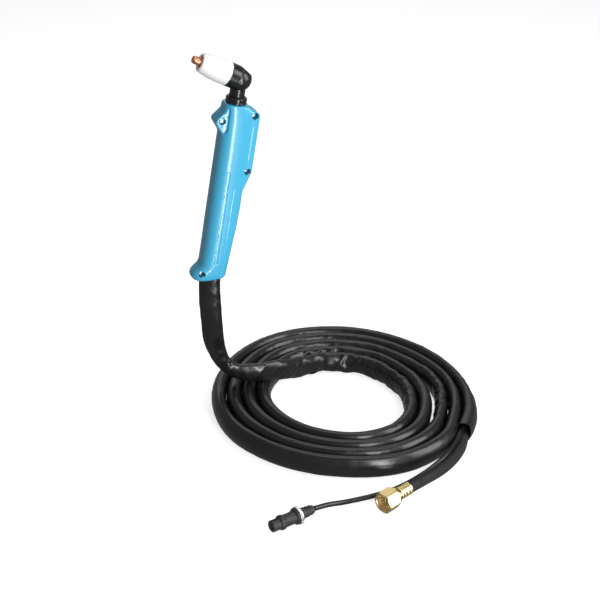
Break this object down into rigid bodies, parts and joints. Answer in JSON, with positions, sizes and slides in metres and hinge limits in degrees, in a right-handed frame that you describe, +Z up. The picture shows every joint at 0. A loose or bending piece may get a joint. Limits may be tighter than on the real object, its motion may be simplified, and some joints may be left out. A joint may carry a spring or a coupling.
{
  "type": "plasma cutting torch",
  "caption": "Hand-held plasma cutting torch: two-part handle with a push trigger, angled head with shield cup and tip, and a sleeved lead wound in a coil with a gas nut and a control plug.",
  "frame": {"origin": "the grip point on the handle's axis, 87 mm above the lower end of the handle", "axes": "+Z up, the head and cup point towards -X, the handle halves meet on the plane Y = 0, and the lead lies on the floor below"},
  "size_m": [0.2783, 0.3249, 0.3774],
  "materials": {
    "blue_shell": "glossy light blue moulded plastic",
    "black_plastic": "black moulded plastic",
    "white_ceramic": "white glazed ceramic",
    "copper": "turned copper",
    "brass": "machined brass",
    "steel": "bright steel",
    "lock_ring": "nickel plated",
    "hafnium": "grey metal",
    "rubber": "black rubber",
    "braid": "black braided cover over hose",
    "cable_jacket": "black cable jacket",
    "sleeve": "black satin flexible sleeve",
    "plug_plastic": "dark matt moulded plastic",
    "wire": "wire insulation"
  },
  "bodies": {
    "root": {"electrode": "copper", "hafnium_insert": "hafnium", "swirl_ring": "white_ceramic", "torch_head": "black_plastic", "head_cathode": "brass", "head_o_ring": "rubber", "neck_tube": "black_plastic", "neck_collar": "black_plastic", "handle_left": "blue_shell", "handle_right": "blue_shell", "handle_screw_1": "steel", "handle_screw_2": "steel", "handle_screw_3": "steel", "handle_screw_4": "steel", "trigger_spring": "steel", "switch_body": "black_plastic", "switch_terminal_1": "brass", "switch_terminal_2": "brass", "switch_wire_1": "wire", "switch_wire_2": "wire", "power_tube": "brass", "union_nut": "brass", "hose_stub": "rubber", "sleeve_clamp": "steel", "sleeve_end": "sleeve", "sleeve_drop": "sleeve", "cable_coil": "sleeve", "hose_tail": "braid", "control_cable_tail": "cable_jacket", "hose_ferrule": "brass", "hose_stem": "brass", "plug_body": "plug_plastic", "plug_contact_1": "brass", "plug_contact_2": "brass", "plug_boot": "plug_plastic"},
    "trigger": {"trigger_button": "black_plastic"},
    "plunger": {"switch_plunger": "steel"},
    "tip": {"cutting_tip": "copper"},
    "cup": {"shield_cup": "white_ceramic", "cup_insert": "brass"},
    "nut": {"hose_nut": "brass"},
    "lock_ring": {"plug_lock_ring": "lock_ring"}
  },
  "joints": [
    {"name": "trigger_push", "type": "slide", "parent": "root", "child": "trigger", "axis": [-0.9851, 0, 0.1719], "range_m": [0, 0.0015], "stiffness_N_per_m": 400, "springref_m": -0.002, "deforming": ["trigger_spring"]},
    {"name": "plunger_push", "type": "slide", "parent": "root", "child": "plunger", "axis": [-0.9851, 0, 0.1719], "range_m": [0, 0.0015]},
    {"name": "tip_slide", "type": "slide", "parent": "root", "child": "tip", "axis": [-0.8838, 0, 0.4679], "range_m": [0, 0.0045]},
    {"name": "cup_turn", "type": "hinge", "parent": "tip", "child": "cup", "pos_m": [0.01972, 0, 0.11299], "axis": [-0.8838, 0, 0.4679], "range_deg": [0, 1080]},
    {"name": "nut_spin", "type": "hinge", "parent": "root", "child": "nut", "pos_m": [0.0777, -0.2253, -0.2282], "axis": [-0.9205, -0.3907, 0], "continuous": true},
    {"name": "lock_ring_spin", "type": "hinge", "parent": "root", "child": "lock_ring", "pos_m": [-0.0287, -0.2213, -0.2292], "axis": [-0.9677, -0.2521, 0], "continuous": true}
  ],
  "couplings": [
    {"joint": "plunger_push", "follows": "trigger_push", "ratio": 1},
    {"joint": "cup_turn", "follows": "tip_slide", "rad_per_m": 4188.8}
  ]
}
